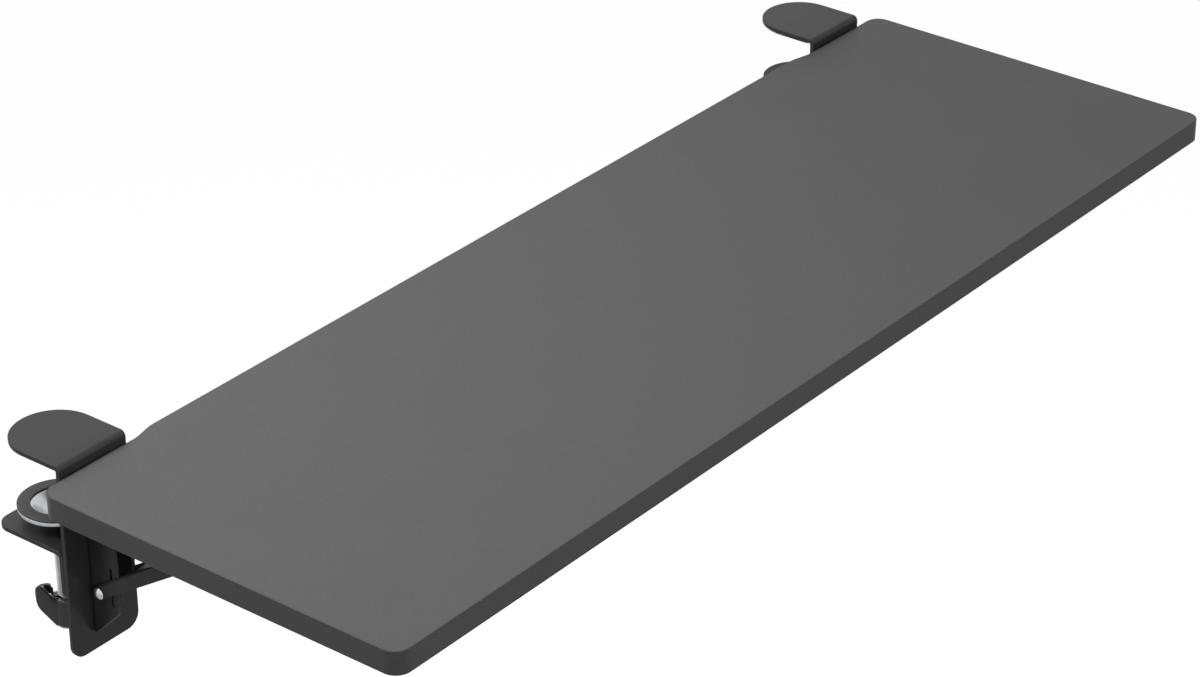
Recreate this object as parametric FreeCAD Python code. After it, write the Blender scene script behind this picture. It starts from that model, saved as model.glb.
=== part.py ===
import FreeCAD, Part
import math
import os

# A desk extender: a narrow board that hangs on the front edge of a desk by two screw
# clamps, with a folding brace under each end. Millimetres, +X to the user's right along
# the desk edge, +Y towards the desk, +Z up. The origin is midway between the clamps, on
# the top front edge of the desk that the clamps hold.

Vector = FreeCAD.Vector
ALONG_X = Vector(1, 0, 0)
ALONG_Y = Vector(0, 1, 0)
ALONG_Z = Vector(0, 0, 1)
SAME_PLACE = 1e-6             # points nearer than this are one point

# Tray board
board_width = 800.0
board_shift = 1.8             # middle of the board to the right of the clamps' middle
board_depth = 262.5
board_thickness = 15.0
board_drop = 2.6              # top of the board below the top of the desk
board_corner = 10.0
band_thickness = 1.0          # edge band round the board
band_edge_round = 0.5
desk_gap = 0.5                # rear edge of the board to the desk
board_to_plate = 0.8          # rear edge of the board to the clamp plates in front of it
relief_reach = 40.0           # middle of a clamp to the middle of the step in the rear edge
relief_run = 14.0             # length of the step along the edge
relief_round = 20.0

# Clamp bracket, one bent plate: tongue, bend and back plate
clamp_inset = 44.5            # middle of a clamp to the end of the board over it
plate_thickness = 3.0
plate_width = 52.0
plate_drop = 123.0            # bottom of the back plate below the top of the desk
plate_corner = 9.0
tongue_length = 52.6          # tip of the tongue beyond the edge of the desk
tongue_bend = 3.5             # outside of the bend over the edge of the desk
pad_thickness = 1.5           # rubber under the tongue
pad_inset = 2.0
pad_clear_of_bend = 3.0

# Shelf under the desk and its screw clamp
shelf_top = 51.6              # top of the shelf below the top of the desk
shelf_length = 54.3
shelf_flange_drop = 85.0      # end of the shelf's flange below the top of the desk
shelf_bend = 5.0              # outside of the bend under the desk
shelf_corner = 10.0
shelf_flange_corner = 7.0
screw_place = 28.0            # screw axis behind the edge of the desk
screw_diameter = 10.0
screw_clearance = 0.05        # radial, in the nut
shelf_hole_clearance = 0.5
nut_width = 17.0
nut_height = 8.0
cup_gap = 39.8                # clamp opening as photographed, cup ring to tongue pad
ring_radius = 23.5
ring_opening = 15.7
ring_thickness = 1.2
cup_rim_height = 2.4
cup_sheet = 1.2
cup_depth = 6.5               # floor of the cup below its rim
cup_floor_radius = 8.0
cup_mouth_radius = 15.4       # top of the dished wall
cup_inset = 0.1               # rim of the cup inside the ring's outer edge
neck_diameter = 7.0
swivel_clearance = 0.1
screw_head_radius = 5.4
screw_head_height = 2.0

# Wing knob
knob_top = 102.4              # top of the hub below the top of the desk
knob_height = 19.7
hub_radius = 8.0
hub_chamfer = (1.5, 2.0)      # in from the hub's side, up from its foot
wing_thickness = 9.0
wing_edge_round = 0.8
wing_foot_inset = 1.0         # foot of the wings inside the hub
wing_foot_round = 2.0
wing_flank = (17.5, -2.3, 9.0)    # radius, height over the hub, rounding
wing_crest = (17.3, 9.6, 2.2)     # outer corner of the high side of a wing
wing_brow = (14.4, 9.6, 1.0)      # inner end of its top
wing_root = (7.5, 0.0, 3.0)       # foot of the slope down to the hub
wing_low_crest = (16.5, 6.0, 4.0)     # outer corner of the low side of a wing
wing_low_brow = (7.3, 6.0, 0.8)
wing_low_root = (7.3, 0.0, 0.0)
wing_hollow = (5.0, 14.5, 3.6)    # inner end, outer end and width of the hollow in a wing
wing_hollow_floor = 0.5       # floor of the hollow over the top of the hub
knob_turn = -38.0             # degrees, wings away from the X axis
knob_bore_depth = 13.0

# Hinge channel on the back plate
channel_width = 20.0
channel_sheet = 2.0
channel_round = 2.4
flange_depth = 21.8           # near flange, plate to free edge
far_flange_depth = 16.2       # far flange below its ear
channel_bottom = 110.6
flange_front_bottom = 90.6    # lower end of the near flange's free edge
far_ear_bottom = 40.6
far_ear_slope = 8.0
far_flange_bottom = 87.5
far_flange_round = 6.0
flange_corner = 3.0
hinge_ear_round = 9.5
catch_slot_place = 20.6       # catch slot in front of the desk edge
catch_slot_bottom = 87.6
catch_slot_top = 61.6
catch_slot_width = 1.8

# Joints of the folding brace
fold_axis = (-16.0, -30.6)    # Y, Z of the pin that the tray folds on
brace_axis = (-11.9, -80.5)   # Y, Z of the rivet that the brace turns on
brace_length = 104.0          # rivet to slot pin
slot_drop = 5.65              # slot pin below the board's underside, tray level
folded_drop = 5.35            # slot pin off the board's underside, tray folded
fold_range = 90.0
hinge_pin_diameter = 6.0
slot_pin_diameter = 5.0
running_clearance = 0.05      # radial, pins in turning holes
slot_clearance = 0.3          # slot pin to the sides of the slot
side_gap = 0.4                # hinge channel to brace, brace to rail
slot_points = 7               # places along the fold that shape the slot
path_step = 0.5               # degrees of fold that give the path's direction
head_gap = 0.2

# Brace: a channel with its web on top
brace_sheet = 1.8
brace_round = 2.2
brace_above = 4.9             # web above the joint line
brace_below = 3.8
brace_end = 4.3               # end beyond the rivet
brace_end_round = 4.2
brace_tip = 3.6               # tip beyond the slot pin, and half its height
brace_tip_round = 3.5
brace_taper = 26.0            # start of the taper behind the slot pin
brace_taper_round = 30.0
web_start = 23.0              # round end of the web's notch, from the rivet
web_end = 90.0

# Rail under the board
rail_sheet = 1.5
rail_depth = 20.0
rail_round = 2.0
rail_behind_pin = 7.0
rail_heel_round = 6.9
rail_length = 175.0           # in front of the fold axis
rail_nose_round = 14.0
rivet_notch_radius = 5.0
rail_end_screw = 8.0          # from the front end of the rail
rail_screw_places = (25.0, 60.0, rail_length - rail_end_screw)   # in front of the fold axis
rail_screw_diameter = 4.0
rail_screw_hole = 12.0        # depth in the board
rail_screw_reach = 11.0       # length in the board
rail_screw_head = (3.6, 1.5)  # radius, height

# Fasteners
rivet_diameter = 5.0
rivet_head = (4.2, 1.8)
brace_rivet_head = (3.7, 1.8)
hinge_pin_head = (4.8, 2.0)
slot_pin_head = (4.0, 1.8)
plate_rivet_drops = (38.0, 103.0)
shelf_rivet_drops = (64.5, 77.5)
fit_clearance = 0.05
bush_radius = 5.6

# Catch spring inside the near flange
spring_sheet = 0.6
spring_width = 8.0
spring_length = 32.0
spring_corner = 2.0
spring_nose_height = 4.8
spring_nose_below_face = 0.3
spring_nose_side_gap = 0.4

# Worked out from the values above
clamp_spacing = board_width - 2 * clamp_inset
board_top = -board_drop
board_under = board_top - board_thickness
board_rear = -desk_gap
board_front = board_rear - board_depth
plate_front = -plate_thickness
relief_rear = plate_front - board_to_plate
tongue_under = pad_thickness
tongue_top = tongue_under + plate_thickness
shelf_under = -shelf_top - plate_thickness
knob_foot = -knob_top - knob_height
brace_half = channel_width / 2 + side_gap + brace_sheet
rail_half = brace_half + side_gap + rail_sheet
pin_rise = board_under - slot_drop - brace_axis[1]
pin_reach = brace_axis[0] - fold_axis[0] + board_under - fold_axis[1] - folded_drop
brace_angle = math.degrees(math.asin(pin_rise / brace_length))      # above level, tray level
brace_fold_angle = -math.degrees(math.acos(pin_reach / brace_length))
brace_steps = (brace_angle - brace_fold_angle) / fold_range         # brace turn for one of fold
ring_top = -cup_gap
rim_top = ring_top - ring_thickness
cup_floor = rim_top - cup_depth
near_edge = plate_front - flange_depth
far_edge = plate_front - far_flange_depth


def in_plan(u, v):
    return Vector(u, v, 0)


def in_side(u, v):
    return Vector(0, u, v)


def in_front(u, v):
    return Vector(u, 0, v)


def rounded_corner(before, corner, after, radius):
    """Start, middle and end of the arc that rounds a corner in the XY plane."""
    back = (before - corner).normalize()
    ahead = (after - corner).normalize()
    half_angle = back.getAngle(ahead) / 2
    reach = radius / math.tan(half_angle)
    centre = corner + (back + ahead).normalize() * (radius / math.sin(half_angle))
    middle = centre + (corner - centre).normalize() * radius
    return corner + back * reach, middle, corner + ahead * reach


def outline_face(corners, place):
    """Face inside a closed outline of (u, v, radius) corners, laid in a plane by place()."""
    points = [Vector(u, v, 0) for u, v, radius in corners]
    arcs = []
    for index, (u, v, radius) in enumerate(corners):
        after = points[(index + 1) % len(points)]
        if radius > 0:
            arcs.append(rounded_corner(points[index - 1], points[index], after, radius))
        else:
            arcs.append((points[index], points[index], points[index]))
    edges = []
    for index, (start, middle, end) in enumerate(arcs):
        start, middle, end = (place(point.x, point.y) for point in (start, middle, end))
        if (end - start).Length > SAME_PLACE:
            edges.append(Part.Arc(start, middle, end).toShape())
        next_start = arcs[(index + 1) % len(arcs)][0]
        next_start = place(next_start.x, next_start.y)
        if (next_start - end).Length > SAME_PLACE:
            edges.append(Part.makeLine(end, next_start))
    return Part.Face(Part.Wire(edges))


def plan_prism(corners, bottom, top):
    """Solid with a plan outline of (x, y, radius) corners between two heights."""
    face = outline_face(corners, in_plan)
    face.translate(ALONG_Z * bottom)
    return face.extrude(ALONG_Z * (top - bottom))


def side_prism(corners, left, right):
    """Solid with a side outline of (y, z, radius) corners between two X places."""
    face = outline_face(corners, in_side)
    face.translate(ALONG_X * left)
    return face.extrude(ALONG_X * (right - left))


def front_prism(corners, front, rear):
    """Solid with a front outline of (x, z, radius) corners between two Y places."""
    face = outline_face(corners, in_front)
    face.translate(ALONG_Y * front)
    return face.extrude(ALONG_Y * (rear - front))


def rod(start, axis, length, diameter):
    return Part.makeCylinder(diameter / 2, length, start, axis)


def dome(base, axis, radius, height):
    """Low round head on a flat base, rising along the axis."""
    sphere = (radius ** 2 + height ** 2) / (2 * height)
    latitude = math.degrees(math.asin((sphere - height) / sphere))
    return Part.makeSphere(sphere, base - axis * (sphere - height), axis, latitude, 90, 360)


def cross_pin(joint, half_length, diameter, head):
    """Pin along X through a joint, with a round head outside each end."""
    y, z = joint
    shank = rod(Vector(-half_length, y, z), ALONG_X, 2 * half_length, diameter)
    heads = [dome(Vector(side * half_length, y, z), ALONG_X * side, *head) for side in (-1, 1)]
    return shank.fuse(heads).removeSplitter()


def cross_hole(joint, half_length, diameter):
    y, z = joint
    return rod(Vector(-half_length, y, z), ALONG_X, 2 * half_length, diameter)


def plate_hole(drop, front, rear, diameter):
    return rod(Vector(0, front, -drop), ALONG_Y, rear - front, diameter)


def rivet(drop, front, rear, tail):
    """Rivet along Y with its head in front, and a tail of its own or a flush end."""
    radius, height = rivet_head
    shape = rod(Vector(0, front, -drop), ALONG_Y, rear - front, rivet_diameter)
    shape = shape.fuse(dome(Vector(0, front, -drop), -ALONG_Y, radius, height))
    if tail:
        shape = shape.fuse(dome(Vector(0, rear, -drop), ALONG_Y, radius, height))
    return shape.removeSplitter()


def channel_section(half_width, height, sheet, outside):
    """Corners of a channel section with its web on top at height 0."""
    inner = half_width - sheet
    inside = outside - sheet
    return [(-half_width, -height, 0), (-half_width, 0, outside), (half_width, 0, outside),
            (half_width, -height, 0), (inner, -height, 0), (inner, -sheet, inside),
            (-inner, -sheet, inside), (-inner, -height, 0)]


# Where the folding brace's slot pin is, seen from the tray
def slot_point(fold):
    """Y, Z of the slot pin in the tray's own place at rest, with the tray folded by fold."""
    lean = math.radians(brace_angle - brace_steps * fold)
    pin_y = brace_axis[0] - brace_length * math.cos(lean) - fold_axis[0]
    pin_z = brace_axis[1] + brace_length * math.sin(lean) - fold_axis[1]
    turn = math.radians(fold)
    return Vector(0, fold_axis[0] + pin_y * math.cos(turn) + pin_z * math.sin(turn),
                  fold_axis[1] + pin_z * math.cos(turn) - pin_y * math.sin(turn))


def slot_side(offset):
    """Spline along one side of the slot, a steady distance from the pin's path."""
    side = []
    for index in range(slot_points):
        fold = fold_range * index / (slot_points - 1)
        path = (slot_point(fold + path_step) - slot_point(fold - path_step)).normalize()
        side.append(slot_point(fold) + Vector(0, -path.z, path.y) * offset)
    return side


def brace_slot(left, right):
    """Curved slot that follows the pin through the fold, cut from one X place to another."""
    half = slot_pin_diameter / 2 + slot_clearance
    upper = slot_side(-half)
    lower = slot_side(half)
    edges = []
    for side in (upper, list(reversed(lower))):
        spline = Part.BSplineCurve()
        spline.interpolate(side)
        edges.append(spline.toShape())
    ends = []
    for fold, step in ((fold_range, path_step), (0, -path_step)):
        outward = (slot_point(fold + step) - slot_point(fold)).normalize()
        ends.append(slot_point(fold) + outward * half)
    edges.insert(1, Part.Arc(upper[-1], ends[0], lower[-1]).toShape())
    edges.append(Part.Arc(lower[0], ends[1], upper[0]).toShape())
    face = Part.Face(Part.Wire(edges))
    face.translate(ALONG_X * left)
    return face.extrude(ALONG_X * (right - left))


# Tray
def board_corners(inset):
    """Plan of the board: square front, and a shallow step in front of each clamp."""
    step_inner = clamp_spacing / 2 - relief_reach - relief_run / 2
    step_outer = step_inner + relief_run
    front = board_front + inset
    rear = board_rear - inset
    relief = relief_rear - inset
    round_end = board_corner - inset
    corners = []
    for side in (1, -1):
        end = side * (board_width / 2 - inset) + board_shift
        half = [(end, front, round_end), (end, relief, round_end),
                (side * step_outer, relief, relief_round), (side * step_inner, rear, relief_round)]
        corners += half[::side]
    return corners


def rail_screw_points():
    return [Vector(side * clamp_spacing / 2, fold_axis[0] - place, board_under)
            for side in (-1, 1) for place in rail_screw_places]


def make_board():
    board = plan_prism(board_corners(band_thickness), board_under, board_top)
    bore = rail_screw_diameter + 2 * fit_clearance
    holes = [rod(point, ALONG_Z, rail_screw_hole, bore) for point in rail_screw_points()]
    return board.cut(holes)


def make_edge_band():
    """Band round the board, with its long edges eased."""
    outer = plan_prism(board_corners(0), board_under, board_top)
    level = [edge for edge in outer.Edges
             if abs(edge.BoundBox.ZMin - edge.BoundBox.ZMax) < SAME_PLACE]
    outer = outer.makeFillet(band_edge_round, level)
    return outer.cut(plan_prism(board_corners(band_thickness), board_under, board_top))


def make_rail():
    """Channel under the board that carries the hinge pin and guides the brace's slot pin."""
    rear = fold_axis[0] + rail_behind_pin
    front = fold_axis[0] - rail_length
    section = channel_section(rail_half, rail_depth, rail_sheet, rail_round)
    section = [(x, z + board_under, radius) for x, z, radius in section]
    rail = front_prism(section, front, rear)
    bottom = board_under - rail_depth
    side = [(front, board_under, 0), (rear, board_under, 0), (rear, bottom, rail_heel_round),
            (front, bottom, rail_nose_round)]
    rail = rail.common(side_prism(side, -rail_half, rail_half))
    notch_y = fold_axis[0] - (fold_axis[1] - brace_axis[1])
    notch_z = fold_axis[1] + (fold_axis[0] - brace_axis[0])
    notch_front = notch_y - rivet_notch_radius
    notch_rear = notch_y + rivet_notch_radius
    notch = [(notch_front, bottom, 0), (notch_rear, bottom, 0),
             (notch_rear, notch_z + rivet_notch_radius, rivet_notch_radius),
             (notch_front, notch_z + rivet_notch_radius, rivet_notch_radius)]
    cutters = [brace_slot(-rail_half, rail_half), side_prism(notch, -rail_half, rail_half),
               cross_hole(fold_axis, rail_half, hinge_pin_diameter + 2 * running_clearance)]
    for place in rail_screw_places:
        hole = Vector(0, fold_axis[0] - place, board_under - rail_sheet)
        cutters.append(rod(hole, ALONG_Z, rail_sheet, rail_screw_diameter + 2 * fit_clearance))
    return rail.cut(cutters)


def make_rail_screws():
    """Pan head screws that hold one rail to the board."""
    screws = []
    radius, height = rail_screw_head
    for place in rail_screw_places:
        seat = Vector(0, fold_axis[0] - place, board_under - rail_sheet)
        shank = rod(seat, ALONG_Z, rail_sheet + rail_screw_reach, rail_screw_diameter)
        screws.append(shank.fuse(dome(seat, -ALONG_Z, radius, height)).removeSplitter())
    return screws


# Clamp bracket
def make_bracket():
    """Tongue and back plate from one bent sheet."""
    profile = [(plate_front, -plate_drop, 0), (plate_front, tongue_top, tongue_bend),
               (tongue_length, tongue_top, 0), (tongue_length, tongue_under, 0),
               (0, tongue_under, tongue_bend - plate_thickness), (0, -plate_drop, 0)]
    half = plate_width / 2
    bracket = side_prism(profile, -half, half)
    plan = [(-half, plate_front, 0), (half, plate_front, 0), (half, tongue_length, half),
            (-half, tongue_length, half)]
    face = [(-half, -plate_drop, plate_corner), (half, -plate_drop, plate_corner),
            (half, tongue_top, 0), (-half, tongue_top, 0)]
    bracket = bracket.common(plan_prism(plan, -plate_drop, tongue_top))
    bracket = bracket.common(front_prism(face, plate_front, tongue_length))
    bore = rivet_diameter + 2 * fit_clearance
    return bracket.cut([plate_hole(drop, plate_front, 0, bore)
                        for drop in plate_rivet_drops + shelf_rivet_drops])


def make_tongue_pad():
    half = plate_width / 2 - pad_inset
    front = pad_clear_of_bend
    rear = tongue_length - pad_inset
    plan = [(-half, front, pad_inset), (half, front, pad_inset), (half, rear, half),
            (-half, rear, half)]
    return plan_prism(plan, 0, pad_thickness)


def make_shelf():
    """Bent plate behind the back plate that carries the clamp screw."""
    profile = [(0, -shelf_flange_drop, 0), (0, -shelf_top, shelf_bend),
               (shelf_length, -shelf_top, 0), (shelf_length, shelf_under, 0),
               (plate_thickness, shelf_under, shelf_bend - plate_thickness),
               (plate_thickness, -shelf_flange_drop, 0)]
    half = plate_width / 2
    shelf = side_prism(profile, -half, half)
    plan = [(-half, 0, 0), (half, 0, 0), (half, shelf_length, shelf_corner),
            (-half, shelf_length, shelf_corner)]
    face = [(-half, -shelf_flange_drop, shelf_flange_corner),
            (half, -shelf_flange_drop, shelf_flange_corner),
            (half, -shelf_top, 0), (-half, -shelf_top, 0)]
    shelf = shelf.common(plan_prism(plan, -shelf_flange_drop, -shelf_top))
    shelf = shelf.common(front_prism(face, 0, shelf_length))
    bore = rivet_diameter + 2 * fit_clearance
    cutters = [plate_hole(drop, 0, plate_thickness, bore) for drop in shelf_rivet_drops]
    cutters.append(rod(Vector(0, screw_place, shelf_under), ALONG_Z, plate_thickness,
                       screw_diameter + 2 * shelf_hole_clearance))
    return shelf.cut(cutters)


def make_nut():
    """Hexagon nut welded under the shelf."""
    corner = nut_width / math.sqrt(3)
    corners = [(corner * math.cos(math.radians(60 * side)),
                screw_place + corner * math.sin(math.radians(60 * side)), 0) for side in range(6)]
    nut = plan_prism(corners, shelf_under - nut_height, shelf_under)
    bore = rod(Vector(0, screw_place, shelf_under - nut_height), ALONG_Z, nut_height,
               screw_diameter + 2 * screw_clearance)
    return nut.cut(bore)


def turned(profile):
    """Solid turned about the clamp screw's axis from (radius, z) points."""
    points = [Vector(radius, screw_place, z) for radius, z in profile]
    face = Part.Face(Part.makePolygon(points + points[:1]))
    return face.revolve(Vector(0, screw_place, 0), ALONG_Z, 360)


def make_cup():
    """Pressed steel dish that turns on the end of the screw and presses up on the desk."""
    hole = neck_diameter / 2 + swivel_clearance
    edge = ring_radius - cup_inset
    wall_lean = math.atan2(cup_depth, cup_mouth_radius - cup_floor_radius)
    wall_shift = cup_sheet * math.tan(wall_lean / 2)
    return turned([(hole, cup_floor), (cup_floor_radius, cup_floor), (cup_mouth_radius, rim_top),
                   (edge, rim_top), (edge, rim_top - cup_rim_height),
                   (edge - cup_sheet, rim_top - cup_rim_height),
                   (edge - cup_sheet, rim_top - cup_sheet),
                   (cup_mouth_radius + wall_shift, rim_top - cup_sheet),
                   (cup_floor_radius + wall_shift, cup_floor - cup_sheet),
                   (hole, cup_floor - cup_sheet)])


def make_cup_ring():
    """Foam ring on the rim of the cup."""
    return turned([(ring_opening, rim_top), (ring_radius, rim_top), (ring_radius, ring_top),
                   (ring_opening, ring_top)])


def make_screw():
    """Clamp screw with the riveted end that holds the cup."""
    under_cup = cup_floor - cup_sheet - swivel_clearance
    head_seat = cup_floor + swivel_clearance
    bottom = -knob_top - knob_bore_depth
    axis = Vector(0, screw_place, bottom)
    shape = rod(axis, ALONG_Z, under_cup - bottom, screw_diameter)
    neck = rod(Vector(0, screw_place, under_cup), ALONG_Z, head_seat - under_cup, neck_diameter)
    head = dome(Vector(0, screw_place, head_seat), ALONG_Z, screw_head_radius, screw_head_height)
    return shape.fuse([neck, head]).removeSplitter()


def make_wing_side(crest, brow, root, outside):
    """Half the thickness of a wing, from the knob's axis outwards, with its outer rim eased."""
    top = -knob_top
    foot = knob_foot + wing_foot_inset
    corners = [(0, foot, 0), (hub_radius - wing_foot_inset, foot, wing_foot_round)]
    for radius, rise, corner in (wing_flank, crest, brow, root):
        corners.append((radius, top + rise, corner))
    corners.append((0, top, 0))
    outer_face = screw_place + outside
    side = front_prism(corners, screw_place, outer_face)
    rim = [edge for edge in side.Edges if edge.BoundBox.XMax > SAME_PLACE
           and abs(edge.BoundBox.YMin - outer_face) < SAME_PLACE
           and abs(edge.BoundBox.YMax - outer_face) < SAME_PLACE]
    return side.makeFillet(wing_edge_round, rim)


def make_wing():
    """Wing of the knob: a high and a low side with a hollow between them."""
    half = wing_thickness / 2
    high = make_wing_side(wing_crest, wing_brow, wing_root, half)
    low = make_wing_side(wing_low_crest, wing_low_brow, wing_low_root, -half)
    inner, outer, width = wing_hollow
    reach = width / 2
    hollow = [(inner, screw_place - reach, 0), (outer, screw_place - reach, reach),
              (outer, screw_place + reach, reach), (inner, screw_place + reach, 0)]
    floor = wing_hollow_floor - knob_top
    wing = high.fuse(low).removeSplitter()
    return wing.cut(plan_prism(hollow, floor, wing_crest[1] - knob_top))


def make_knob():
    """Wing knob: a round hub and two hollow wings that rise above it."""
    chamfer_in, chamfer_up = hub_chamfer
    hub = turned([(0, knob_foot), (hub_radius - chamfer_in, knob_foot),
                  (hub_radius, knob_foot + chamfer_up), (hub_radius, -knob_top), (0, -knob_top)])
    axis = Vector(0, screw_place, 0)
    right = make_wing()
    left = right.copy()
    left.rotate(axis, ALONG_Z, 180)
    knob = hub.fuse([right, left]).removeSplitter()
    knob = knob.cut(rod(Vector(0, screw_place, -knob_top - knob_bore_depth), ALONG_Z,
                        knob_bore_depth, screw_diameter + 2 * fit_clearance))
    knob.rotate(axis, ALONG_Z, knob_turn)
    return knob


# Folding brace
def make_channel():
    """Hinge channel on the back plate, with a full near flange and a short far one."""
    half = channel_width / 2
    top = fold_axis[1] + hinge_ear_round
    section = channel_section(half, flange_depth, channel_sheet, channel_round)
    section = [(x, plate_front + depth, radius) for x, depth, radius in section]
    channel = plan_prism(section, -channel_bottom, top)
    near = [(plate_front, -channel_bottom, 0), (plate_front, top, 0),
            (near_edge, top, hinge_ear_round), (near_edge, -flange_front_bottom, flange_corner),
            (plate_front - channel_sheet, -channel_bottom, 0)]
    far = [(plate_front, -channel_bottom, 0), (plate_front, top, 0),
           (near_edge, top, hinge_ear_round), (near_edge, -far_ear_bottom, flange_corner),
           (far_edge, -far_ear_bottom - far_ear_slope, flange_corner),
           (far_edge, -far_flange_bottom, far_flange_round),
           (plate_front - channel_sheet, -far_flange_bottom, 0),
           (plate_front - channel_sheet, -channel_bottom, 0)]
    left = channel.common(side_prism(near, -half, 0))
    right = channel.common(side_prism(far, 0, half))
    channel = left.fuse(right).removeSplitter()
    half_slot = catch_slot_width / 2
    slot = [(-catch_slot_place - half_slot, -catch_slot_bottom, half_slot),
            (-catch_slot_place + half_slot, -catch_slot_bottom, half_slot),
            (-catch_slot_place + half_slot, -catch_slot_top, half_slot),
            (-catch_slot_place - half_slot, -catch_slot_top, half_slot)]
    cutters = [cross_hole(joint, half, hinge_pin_diameter + 2 * running_clearance)
               for joint in (fold_axis, brace_axis)]
    cutters.append(side_prism(slot, -half, 0))
    bore = rivet_diameter + 2 * fit_clearance
    cutters += [plate_hole(drop, plate_front - channel_sheet, plate_front, bore)
                for drop in plate_rivet_drops + shelf_rivet_drops]
    return channel.cut(cutters)


def make_catch_spring():
    """Leaf spring on the inside of the near flange, with its nose low in the catch slot."""
    face = -channel_width / 2 + channel_sheet
    bottom = -catch_slot_bottom
    top = bottom + spring_length
    front = -catch_slot_place - spring_width / 2
    rear = -catch_slot_place + spring_width / 2
    leaf = [(front, bottom, spring_corner), (rear, bottom, spring_corner),
            (rear, top, spring_corner), (front, top, spring_corner)]
    nose_half = catch_slot_width / 2 - spring_nose_side_gap
    nose_bottom = bottom + catch_slot_width
    nose_top = nose_bottom + spring_nose_height
    nose = [(-catch_slot_place - nose_half, nose_bottom, 0),
            (-catch_slot_place + nose_half, nose_bottom, 0),
            (-catch_slot_place + nose_half, nose_top, 0),
            (-catch_slot_place - nose_half, nose_top, 0)]
    nose_face = -channel_width / 2 + spring_nose_below_face
    spring = side_prism(leaf, face, face + spring_sheet)
    return spring.fuse(side_prism(nose, nose_face, face)).removeSplitter()


def make_brace():
    """Channel strut from the brace rivet up to the slot pin, laid level and then raised."""
    tip = -brace_length - brace_tip
    taper = -brace_length + brace_taper
    section = channel_section(brace_half, brace_above + brace_below, brace_sheet, brace_round)
    section = [(x, z + brace_above, radius) for x, z, radius in section]
    brace = front_prism(section, tip, brace_end)
    side = [(brace_end, -brace_below, brace_end_round), (brace_end, brace_above, brace_end_round),
            (taper, brace_above, brace_taper_round), (tip, brace_tip, brace_tip_round),
            (tip, -brace_tip, brace_tip_round), (taper, -brace_below, brace_taper_round)]
    brace = brace.common(side_prism(side, -brace_half, brace_half))
    inner = brace_half - brace_sheet
    notch = [(-inner, brace_end, 0), (inner, brace_end, 0),
             (inner, -web_start - inner, inner), (-inner, -web_start - inner, inner)]
    mouth = [(-inner, -web_end, 0), (inner, -web_end, 0), (inner, tip, 0), (-inner, tip, 0)]
    cutters = [plan_prism(notch, -brace_below, brace_above),
               plan_prism(mouth, -brace_below, brace_above),
               cross_hole((0, 0), brace_half, hinge_pin_diameter + 2 * running_clearance),
               cross_hole((-brace_length, 0), brace_half, slot_pin_diameter + 2 * fit_clearance)]
    brace = brace.cut(cutters)
    brace.rotate(Vector(0, 0, 0), ALONG_X, -brace_angle)
    brace.translate(Vector(0, *brace_axis))
    return brace


def make_bushes():
    """Spacer bushes on the hinge pin, between the hinge channel and the rail."""
    length = rail_half - rail_sheet - channel_width / 2 - 2 * head_gap
    bushes = []
    for start in (channel_width / 2 + head_gap, -channel_width / 2 - head_gap - length):
        place = Vector(start, *fold_axis)
        bush = rod(place, ALONG_X, length, 2 * bush_radius)
        bore = rod(place, ALONG_X, length, hinge_pin_diameter + 2 * running_clearance)
        bushes.append(bush.cut(bore))
    return bushes


def make_plate_rivets():
    front = plate_front - channel_sheet
    upper, lower = plate_rivet_drops
    return [rivet(upper, front, 0, False), rivet(lower, front, 0, True)]


def make_shelf_rivets():
    front = plate_front - channel_sheet
    return [rivet(drop, front, plate_thickness, True) for drop in shelf_rivet_drops]


def slot_pin_joint():
    point = slot_point(0)
    return point.y, point.z


def make_clamp_side():
    """Every piece of one clamp and its folding brace, about the clamp's middle plane."""
    rail_pin = rail_half + head_gap
    return {
        "clamp_bracket": [make_bracket()],
        "tongue_pad": [make_tongue_pad()],
        "clamp_shelf": [make_shelf()],
        "weld_nut": [make_nut()],
        "clamp_screw": [make_screw()],
        "wing_knob": [make_knob()],
        "pressure_cup": [make_cup()],
        "cup_ring": [make_cup_ring()],
        "hinge_channel": [make_channel()],
        "catch_spring": [make_catch_spring()],
        "plate_rivets": make_plate_rivets(),
        "shelf_rivets": make_shelf_rivets(),
        "hinge_pin": [cross_pin(fold_axis, rail_pin, hinge_pin_diameter, hinge_pin_head)],
        "hinge_bushes": make_bushes(),
        "brace_rivet": [cross_pin(brace_axis, brace_half + head_gap, hinge_pin_diameter,
                                  brace_rivet_head)],
        "brace_arm": [make_brace()],
        "slot_pin": [cross_pin(slot_pin_joint(), rail_pin, slot_pin_diameter, slot_pin_head)],
        "tray_rail": [make_rail()],
        "rail_screws": make_rail_screws(),
    }


def export(name, solids):
    shape = solids[0] if len(solids) == 1 else Part.makeCompound(solids)
    shape.exportStep(os.path.join("parts", name + ".step"))
    print(name, "solids", len(shape.Solids), "valid", shape.isValid())


os.makedirs("parts", exist_ok=True)
export("tray_board", [make_board()])
export("tray_edge_band", [make_edge_band()])
pieces = make_clamp_side()
for side_name, place in (("left", -clamp_spacing / 2), ("right", clamp_spacing / 2)):
    for piece_name, solids in pieces.items():
        moved = []
        for solid in solids:
            copy = solid.copy()
            copy.translate(ALONG_X * place)
            moved.append(copy)
        export(side_name + "_" + piece_name, moved)
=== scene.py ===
"""Looks of a clamp-on desk extender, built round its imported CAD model.

A laminated board hangs on the front edge of a desk by two clamps of bent, powder coated
steel, with a folding brace under each end. Everything is in metres, in the CAD model's frame:
X runs along the desk edge, Y points into the desk and Z up.
"""

import logging
import math
from dataclasses import dataclass
from enum import Enum
from typing import Any

import bmesh
import bpy
from mathutils import Matrix, Vector

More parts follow.
